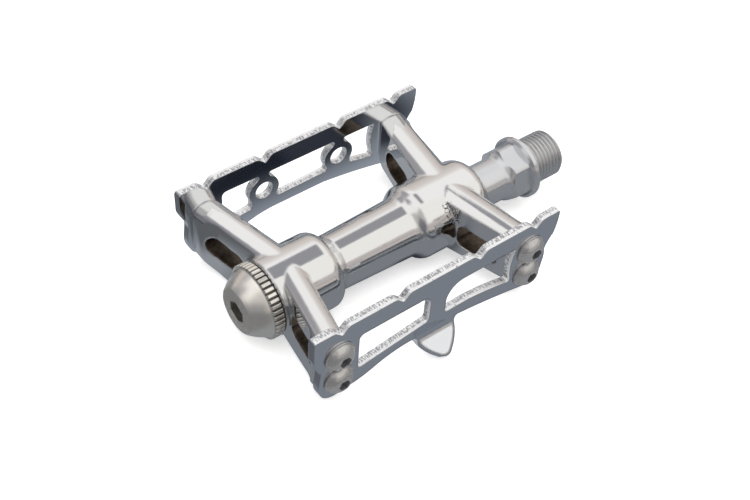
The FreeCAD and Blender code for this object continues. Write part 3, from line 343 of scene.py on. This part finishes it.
def plated_axle_steel():
    """Alloy steel turned, thread-rolled and nickel plated: a soft gloss, with painted shade in the
    thread.

    The lines that turning leaves are drawn coarser than the real ones so that they show.
    """
    material, tree = new_material("plated_axle_steel")
    colours = bpy.context.scene.track_pedal_colours
    place = add(tree, "ShaderNodeTexCoord").outputs["Object"]
    parts = add(tree, "ShaderNodeSeparateXYZ", {0: place}).outputs
    # Painted shade: the thread's roots are darkened.
    groove = region(tree, (from_axis(tree, parts), None, THREAD_ROOT, 0.25 * MM),
                    (parts["X"], *THREAD_SPAN, 0.01 * MM))
    tone = paint(tree, tuple(colours.axle), (groove, colour("#cccbc8")))
    blotch = add(tree, "ShaderNodeTexNoise", {"Vector": place, "Scale": per_mm(3.0), "Detail": 1.0})
    rough = add(tree, "ShaderNodeMapRange", {"Value": blotch.outputs[0], "To Min": 0.20,
                                             "To Max": 0.27})
    lines = add(tree, "ShaderNodeTexWave", {"Vector": place, "Scale": bands(1.2 * MM),
                                            "Distortion": 1.0, "Detail": 2.0}, bands_direction="X")
    relief = add(tree, "ShaderNodeBump", {"Height": lines.outputs["Fac"], "Strength": 0.03,
                                          "Distance": 0.02 * MM})
    finish_metal(tree, {"Base Color": tone, "Roughness": rough.outputs[0], "Metallic": 0.88,
                        "Normal": relief.outputs[0]})
    return material


def satin_screw_steel():
    """Stainless screws, cold-headed and tumbled: a pale satin with a fine orange-peel grain.

    Painted shade darkens the hexagon sockets and the crevice where a head meets its plate.
    """
    material, tree = new_material("satin_screw_steel")
    colours = bpy.context.scene.track_pedal_colours
    place, parts, facing = surface(tree)
    out = add(tree, "ShaderNodeMath", {0: parts["Y"]}, operation="ABSOLUTE").outputs[0]
    lean = add(tree, "ShaderNodeMath", {0: facing["Y"]}, operation="ABSOLUTE").outputs[0]
    # Painted shade: the crevice round the head's seat and the socket's wall and end are darkened.
    painted_shade = region(tree, (out, None, SCREW_SEAT, 0.15 * MM))
    socket_wall = region(tree, (out, SOCKET_BEYOND, None, 0.1 * MM), (lean, None, 0.2, 0.05))
    socket_end = region(tree, (out, *SOCKET_END, 0.02 * MM), (lean, 0.93, None, 0.03))
    for mask in (socket_wall, socket_end):
        painted_shade = add(tree, "ShaderNodeMath", {0: painted_shade, 1: mask}, operation="MAXIMUM").outputs[0]
    grain = add(tree, "ShaderNodeTexNoise", {"Vector": place, "Scale": per_mm(0.3), "Detail": 3.0})
    blotch = add(tree, "ShaderNodeTexNoise", {"Vector": place, "Scale": per_mm(1.6), "Detail": 2.0})
    tone = paint(tree, colour("#bbb9b7"), (blotch.outputs[0], tuple(colours.screw)),
                 (painted_shade, colour("#a09fa3")))
    corner = add(tree, "ShaderNodeBevel", {"Radius": SCREW_EDGE}, samples=4)
    relief = add(tree, "ShaderNodeBump", {"Height": grain.outputs[0], "Strength": 0.10,
                                          "Distance": 0.03 * MM, "Normal": corner.outputs[0]})
    finish_metal(tree, {"Base Color": tone, "Roughness": 0.23, "Metallic": 0.74,
                        "Normal": relief.outputs[0]})
    return material


def ground_bearing_steel():
    """Hardened steel races, ground round the axis: grey, with fine grinding lines.

    The lines are drawn coarser than the real ones so that they show.
    """
    material, tree = new_material("ground_bearing_steel")
    place = add(tree, "ShaderNodeTexCoord").outputs["Object"]
    lines = add(tree, "ShaderNodeTexWave", {"Vector": place, "Scale": bands(0.5 * MM),
                                            "Distortion": 1.5, "Detail": 2.0}, bands_direction="X")
    rough = add(tree, "ShaderNodeMapRange", {"Value": lines.outputs["Fac"], "To Min": 0.22,
                                             "To Max": 0.34})
    relief = add(tree, "ShaderNodeBump", {"Height": lines.outputs["Fac"], "Strength": 0.1,
                                          "Distance": 0.02 * MM})
    finish_metal(tree, {"Base Color": colour("#a9a8a6"), "Roughness": rough.outputs[0],
                        "Normal": relief.outputs[0]})
    return material


def lapped_ball_steel():
    """Chromium steel balls, lapped to a mirror under a thin film of grease."""
    material, tree = new_material("lapped_ball_steel")
    place = add(tree, "ShaderNodeTexCoord").outputs["Object"]
    film = add(tree, "ShaderNodeTexNoise", {"Vector": place, "Scale": per_mm(0.8), "Detail": 2.0})
    rough = add(tree, "ShaderNodeMapRange", {"Value": film.outputs[0], "To Min": 0.03,
                                             "To Max": 0.12})
    finish_metal(tree, {"Base Color": colour("#d2d1cf"), "Roughness": rough.outputs[0]})
    return material


def zinc_plated_steel():
    """Stamped and zinc plated washer and nut: mottled satin grey."""
    material, tree = new_material("zinc_plated_steel")
    place = add(tree, "ShaderNodeTexCoord").outputs["Object"]
    spangle = add(tree, "ShaderNodeTexVoronoi", {"Vector": place, "Scale": per_mm(0.7)})
    rough = add(tree, "ShaderNodeMapRange", {"Value": spangle.outputs["Distance"], "To Min": 0.28,
                                             "To Max": 0.42})
    finish_metal(tree, {"Base Color": colour("#b3b2ad"), "Roughness": rough.outputs[0]})
    return material


def moulded_black_rubber():
    """Nitrile rubber, moulded in a blasted tool: near black, with a dull fine grain."""
    material, tree = new_material("moulded_black_rubber")
    place = add(tree, "ShaderNodeTexCoord").outputs["Object"]
    grain = add(tree, "ShaderNodeTexNoise", {"Vector": place, "Scale": per_mm(0.15), "Detail": 2.0})
    rough = add(tree, "ShaderNodeMapRange", {"Value": grain.outputs[0], "To Min": 0.55,
                                             "To Max": 0.75})
    relief = add(tree, "ShaderNodeBump", {"Height": grain.outputs[0], "Strength": 0.2,
                                          "Distance": 0.02 * MM})
    shader = add(tree, "ShaderNodeBsdfPrincipled", {"Base Color": colour("#161616"), "IOR": 1.52,
                                                    "Roughness": rough.outputs[0],
                                                    "Normal": relief.outputs[0]})
    add(tree, "ShaderNodeOutputMaterial", {"Surface": shader.outputs[0]})
    return material


def dress(names, material):
    """Give CAD nodes a finish."""
    for name in names:
        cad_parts[name].material_slots[0].material = material


def thread_radius(sizes, along, turn):
    """The thread's radius at a place along it, with its crest, root, relief and chamfer."""
    root_flat, flank_share, chamfer_length = 0.14, 0.74, 0.7 * MM
    crest = sizes.thread_radius
    root = crest - sizes.thread_depth
    if along < sizes.thread_relief:
        radius = root
    else:
        rise = abs((along / sizes.thread_pitch + turn) % 1.0 * 2 - 1)
        flank = min(max((rise - root_flat) / flank_share, 0.0), 1.0)
        radius = crest - sizes.thread_depth * (1 - flank)
    chamfer = crest - max(0.0, along - (sizes.thread_length - chamfer_length))
    return min(radius, chamfer)


def threaded_axle_mesh(sizes):
    """The CAD axle with a rolled left-hand thread in place of its plain end."""
    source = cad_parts["axle"].data
    places = [vertex.co.copy() for vertex in source.vertices]
    kept = [face for face in source.polygons if face.center.x < 0.01 * MM]
    corner_normals = [normal.vector.copy() for normal in source.corner_normals]
    faces = [tuple(face.vertices) for face in kept]
    normals = [corner_normals[loop] for face in kept for loop in face.loop_indices]

    around, rows_in_pitch = 96, 14
    step = sizes.thread_pitch / rows_in_pitch
    end, hair = sizes.thread_length, 0.001 * MM
    # Rows of points: a place along the axle, and a radius where it isn't the thread's own. The
    # first lies inside the flange, and the last four are the end face and the conical mark of a
    # lathe's centre in it.
    rows = [(-0.3 * MM, None), (0.0, sizes.thread_radius + 4 * hair)]
    rows += [(hair + step * index, None) for index in range(int(end / step))]
    rows += [(end - hair, None), (end, sizes.thread_radius - 1.5 * MM), (end, 1.6 * MM),
             (end - 1.1 * MM, 0.55 * MM), (end - 1.4 * MM, 0.02 * MM)]
    start = len(places)
    for along, fixed in rows:
        for index in range(around):
            turn = index / around
            angle = turn * 2 * math.pi
            radius = fixed if fixed is not None else thread_radius(sizes, max(along, 0.0), turn)
            places.append(Vector((along, radius * math.cos(angle), radius * math.sin(angle))))
    for row in range(len(rows) - 1):
        for index in range(around):
            near = start + row * around
            after = (index + 1) % around
            faces.append((near + index, near + after, near + around + after, near + around + index))
    made = bpy.data.meshes.new("threaded_axle")
    made.from_pydata([tuple(place) for place in places], [], faces)
    made.validate()
    for face in made.polygons:
        face.use_smooth = True
    # The CAD's faces come first and keep their normals; a zero normal is left to Blender.
    normals += [Vector((0.0, 0.0, 0.0))] * (len(made.loops) - len(normals))
    made.normals_split_custom_set([tuple(normal) for normal in normals])
    return made


class TrackPedalSizes(bpy.types.PropertyGroup):
    """Sizes that the scene adds to the CAD model's."""

    thread_radius: bpy.props.FloatProperty(
        name="Thread radius", description="Outer radius of the crank thread",
        default=7.144 * MM, unit="LENGTH", precision=5)
    thread_length: bpy.props.FloatProperty(
        name="Thread length", description="Length of the threaded end beyond the flange",
        default=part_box("axle")[1].x, unit="LENGTH", precision=5)
    thread_pitch: bpy.props.FloatProperty(
        name="Thread pitch", description="Advance of the crank thread in one turn",
        default=1.27 * MM, unit="LENGTH", precision=5)
    thread_depth: bpy.props.FloatProperty(
        name="Thread depth", description="Depth of the thread from crest to root",
        default=0.76 * MM, unit="LENGTH", precision=5)
    thread_relief: bpy.props.FloatProperty(
        name="Relief width", description="Width of the groove between thread and flange",
        default=0.9 * MM, unit="LENGTH", precision=5)
    buffed_edge: bpy.props.FloatProperty(
        name="Buffed edge", description="Radius that buffing gives the body's edges and corners",
        default=1.2 * MM, unit="LENGTH", precision=5)
    plate_edge: bpy.props.FloatProperty(
        name="Plate edge", description="Radius broken on the side plates' edges",
        default=0.3 * MM, unit="LENGTH", precision=5)
    tab_edge: bpy.props.FloatProperty(
        name="Tab edge", description="Radius that tumbling gives the bent tab",
        default=1.6 * MM, unit="LENGTH", precision=5)
    punch_marks: bpy.props.FloatProperty(
        name="Punch marks", description="Spacing of the marks on the side plates' torn edges",
        default=0.3 * MM, unit="LENGTH", precision=5)
    # The real rings are about 0.1 mm apart, too fine to show, so they are drawn coarser.
    lathe_rings: bpy.props.FloatProperty(
        name="Lathe rings", description="Spacing of the rings on the dust cap",
        default=1.0 * MM, unit="LENGTH", precision=5)


class TrackPedalColours(bpy.types.PropertyGroup):
    """Colours of the visible finishes."""

    body: bpy.props.FloatVectorProperty(
        name="Body", description="Polished body", subtype="COLOR", size=4, min=0, max=1,
        default=colour("#f1f0ee"))
    plate_face: bpy.props.FloatVectorProperty(
        name="Plate face", description="Side plates' rolled faces", subtype="COLOR", size=4, min=0,
        max=1, default=colour("#eef0f4"))
    plate_edge: bpy.props.FloatVectorProperty(
        name="Plate edge", description="Side plates' punched edges", subtype="COLOR", size=4, min=0,
        max=1, default=colour("#fafafa"))
    cap: bpy.props.FloatVectorProperty(
        name="Dust cap", description="Turned dust cap", subtype="COLOR", size=4, min=0, max=1,
        default=colour("#fefaf3"))
    axle: bpy.props.FloatVectorProperty(
        name="Axle", description="Plated axle", subtype="COLOR", size=4, min=0, max=1,
        default=colour("#dedfe1"))
    screw: bpy.props.FloatVectorProperty(
        name="Screws", description="Satin screws", subtype="COLOR", size=4, min=0, max=1,
        default=colour("#cfcdcb"))
    floor: bpy.props.FloatVectorProperty(
        name="Floor", description="Pale studio floor", subtype="COLOR", size=4, min=0, max=1,
        default=colour("#fbfbfa"))


class TRACKPEDAL_OT_body(bpy.types.Operator):
    """Polish the cast body and the cover that closes its crank-side end"""

    bl_idname = "track_pedal.body"
    bl_label = "Polish Body"

    def execute(self, context):
        dress(["pedal_body", "inboard_cover"], polished_cast_aluminium())
        return {"FINISHED"}


class TRACKPEDAL_OT_plates(bpy.types.Operator):
    """Finish the two side plates"""

    bl_idname = "track_pedal.plates"
    bl_label = "Finish Side Plates"

    def execute(self, context):
        dress(["rear_plate", "front_plate"], punched_plate_aluminium())
        return {"FINISHED"}


class TRACKPEDAL_OT_screws(bpy.types.Operator):
    """Finish the eight plate screws"""

    bl_idname = "track_pedal.screws"
    bl_label = "Finish Screws"

    def execute(self, context):
        dress(SCREWS, satin_screw_steel())
        return {"FINISHED"}


class TRACKPEDAL_OT_axle(bpy.types.Operator):
    """Cut the crank thread on the axle and plate it"""

    bl_idname = "track_pedal.axle"
    bl_label = "Thread Axle"

    def execute(self, context):
        mesh = threaded_axle_mesh(context.scene.track_pedal_sizes)
        axle = bpy.data.objects.new("threaded_axle", mesh)
        context.scene.collection.objects.link(axle)
        mesh.materials.append(plated_axle_steel())
        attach(axle, "axle")
        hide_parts("axle")
        return {"FINISHED"}


class TRACKPEDAL_OT_bearings(bpy.types.Operator):
    """Finish the races, balls, washer, nut and seal"""

    bl_idname = "track_pedal.bearings"
    bl_label = "Finish Bearings"

    def execute(self, context):
        dress(["inboard_cup", "outboard_cup", "adjusting_cone"], ground_bearing_steel())
        dress(BALLS, lapped_ball_steel())
        dress(["lock_washer", "lock_nut"], zinc_plated_steel())
        dress(["inboard_seal", "dust_cap_ring"], moulded_black_rubber())
        return {"FINISHED"}


class TRACKPEDAL_OT_cap(bpy.types.Operator):
    """Finish the knurled dust cap"""

    bl_idname = "track_pedal.cap"
    bl_label = "Finish Dust Cap"

    def execute(self, context):
        dress(["dust_cap"], turned_aluminium())
        return {"FINISHED"}


def board(name, height, rise=0.0):
    """A level square of the stage, or low walls round its edge, and its material's tree."""
    corners = [(x * STAGE_HALF, y * STAGE_HALF) for x, y in ((-1, -1), (1, -1), (1, 1), (-1, 1))]
    places = [(x, y, height) for x, y in corners]
    faces = [(0, 1, 2, 3)]
    if rise:
        places += [(x, y, height + rise) for x, y in corners]
        faces = [(spot, (spot + 1) % 4, (spot + 1) % 4 + 4, spot + 4) for spot in range(4)]
    mesh = bpy.data.meshes.new(name)
    mesh.from_pydata(places, [], faces)
    made = bpy.data.objects.new(name, mesh)
    bpy.context.scene.collection.objects.link(made)
    material, tree = new_material(name)
    mesh.materials.append(material)
    return made, tree


def paper_floor(height, tone):
    """White paper, softly mottled, that lifts its own shadows a little as a lit table does."""
    floor, tree = board("pale_floor", height)
    place = add(tree, "ShaderNodeTexCoord").outputs["Object"]
    mottle = add(tree, "ShaderNodeTexNoise", {"Vector": place, "Scale": per_mm(60), "Detail": 2.0})
    rough = add(tree, "ShaderNodeMapRange", {"Value": mottle.outputs[0], "To Min": 0.75,
                                             "To Max": 0.85})
    shader = add(tree, "ShaderNodeBsdfPrincipled", {
        "Base Color": tone, "Roughness": rough.outputs[0], "Specular IOR Level": 0.0,
        "Emission Color": colour("#ffffff"), "Emission Strength": 0.5})
    add(tree, "ShaderNodeOutputMaterial", {"Surface": shader.outputs[0]})
    floor.visible_glossy = False


def lay_cards(tree, parts, tone, cards):
    """A tone with cards laid over it in turn."""
    for card, limits, soft in cards:
        edges = [(parts[axis], low, high, soft) for axis, (low, high) in limits.items()]
        tone = paint(tree, tone, (region(tree, *edges), colour(card)))
    return tone


def glow_for_metal(piece, tree, tone):
    """Light a piece of the stage evenly and let nothing but reflections see it."""
    shine = add(tree, "ShaderNodeEmission", {"Color": tone})
    add(tree, "ShaderNodeOutputMaterial", {"Surface": shine.outputs[0]})
    piece.visible_camera = False
    piece.visible_diffuse = False
    piece.visible_shadow = False


def slate_reflection_sheet(height):
    """Painted reflection: a glowing slate sheet that only polished metal sees where the eye sees
    the pale floor, with painted shadow under the pedal.
    """
    table, tree = board("slate_reflection_sheet", height)
    place = add(tree, "ShaderNodeTexCoord").outputs["Object"]
    parts = add(tree, "ShaderNodeSeparateXYZ", {0: place}).outputs
    glow_for_metal(table, tree, lay_cards(tree, parts, colour("#7d8289"), TABLE_CARDS_AND_SHADOWS))


def navy_rim_reflection(height):
    """Painted reflection: a glowing navy wall round the table's edge that only polished metal sees,
    drawing a thin dark line in each polished round.
    """
    rim, tree = board("navy_rim_reflection", height, RIM_RISE)
    glow_for_metal(rim, tree, colour("#2a2c35"))


def light_studio(scene):
    """White overhead panels with a dark gap, a darker wall outboard and warm grey low walls."""
    world = bpy.data.worlds.new("studio")
    scene.world = world
    world.use_nodes = True
    tree = world.node_tree
    tree.nodes.clear()
    place = add(tree, "ShaderNodeTexCoord").outputs["Generated"]
    direction = add(tree, "ShaderNodeSeparateXYZ", {0: place}).outputs
    ramp = add(tree, "ShaderNodeValToRGB", {0: direction["Z"]})
    stops = ((0.0, "#bdbab6"), (0.2, "#c1bab6"), (0.4, "#cfc8c5"), (0.56, "#dbd6d5"),
             (0.68, "#f2f2f2"), (1.0, "#f2f2f2"))
    ramp.color_ramp.elements[0].color = colour(stops[0][1])
    ramp.color_ramp.elements[1].color = colour(stops[-1][1])
    for position, stop in stops[1:-1]:
        ramp.color_ramp.elements.new(position).color = colour(stop)
    tone = lay_cards(tree, direction, ramp.outputs[0], STUDIO_CARDS)
    shine = add(tree, "ShaderNodeBackground", {"Color": tone, "Strength": 1.05})
    add(tree, "ShaderNodeOutputWorld", {"Surface": shine.outputs[0]})


class TRACKPEDAL_OT_stage(bpy.types.Operator):
    """Lay the pale floor, light the studio and place the camera"""

    bl_idname = "track_pedal.stage"
    bl_label = "Build Stage"

    def execute(self, context):
        scene = context.scene
        ground = cad_low.z - PAPER_GAP
        paper_floor(ground, tuple(scene.track_pedal_colours.floor))
        slate_reflection_sheet(ground - TABLE_GAP)
        navy_rim_reflection(ground - TABLE_GAP)
        light_studio(scene)

        lamp = bpy.data.lights.new("overhead_panel", "AREA")
        lamp.shape = "SQUARE"
        lamp.size = LAMP_SIDE
        lamp.energy = LAMP_WATTS
        panel = bpy.data.objects.new("overhead_panel", lamp)
        panel.location = LAMP_PLACE
        panel.visible_glossy = False
        scene.collection.objects.link(panel)

        camera = bpy.data.cameras.new("camera")
        camera.sensor_fit = "HORIZONTAL"
        camera.angle = math.radians(CAMERA_ANGLE)
        camera.clip_start = 0.01
        eye = bpy.data.objects.new("camera", camera)
        turn = Matrix((CAMERA_RIGHT, CAMERA_UP, -Vector(CAMERA_VIEW))).transposed()
        eye.matrix_world = Matrix.Translation(Vector(CAMERA_PLACE) * MM) @ turn.to_4x4()
        scene.collection.objects.link(eye)
        scene.camera = eye
        scene.view_settings.view_transform = "Standard"
        return {"FINISHED"}


class TRACKPEDAL_PT_panel(bpy.types.Panel):
    """Pedal pieces, stage, sizes and colours"""

    bl_idname = "TRACKPEDAL_PT_panel"
    bl_label = "Track Pedal"
    bl_space_type = "VIEW_3D"
    bl_region_type = "UI"
    bl_category = "Track Pedal"

    def draw(self, context):
        for group in (context.scene.track_pedal_sizes, context.scene.track_pedal_colours):
            for name in group.__annotations__:
                self.layout.prop(group, name)
        for operator in OPERATORS:
            self.layout.operator(operator.bl_idname)


OPERATORS = (TRACKPEDAL_OT_body, TRACKPEDAL_OT_plates, TRACKPEDAL_OT_screws, TRACKPEDAL_OT_axle,
             TRACKPEDAL_OT_bearings, TRACKPEDAL_OT_cap, TRACKPEDAL_OT_stage)
CLASSES = (TrackPedalSizes, TrackPedalColours) + OPERATORS + (TRACKPEDAL_PT_panel,)


def register():
    for item in CLASSES:
        bpy.utils.register_class(item)
    bpy.types.Scene.track_pedal_sizes = bpy.props.PointerProperty(type=TrackPedalSizes)
    bpy.types.Scene.track_pedal_colours = bpy.props.PointerProperty(type=TrackPedalColours)


def unregister():
    del bpy.types.Scene.track_pedal_colours
    del bpy.types.Scene.track_pedal_sizes
    for item in reversed(CLASSES):
        bpy.utils.unregister_class(item)


def main():
    register()
    bpy.ops.track_pedal.body()
    bpy.ops.track_pedal.plates()
    bpy.ops.track_pedal.screws()
    bpy.ops.track_pedal.axle()
    bpy.ops.track_pedal.bearings()
    bpy.ops.track_pedal.cap()
    bpy.ops.track_pedal.stage()


if __name__ == "__main__":
    main()
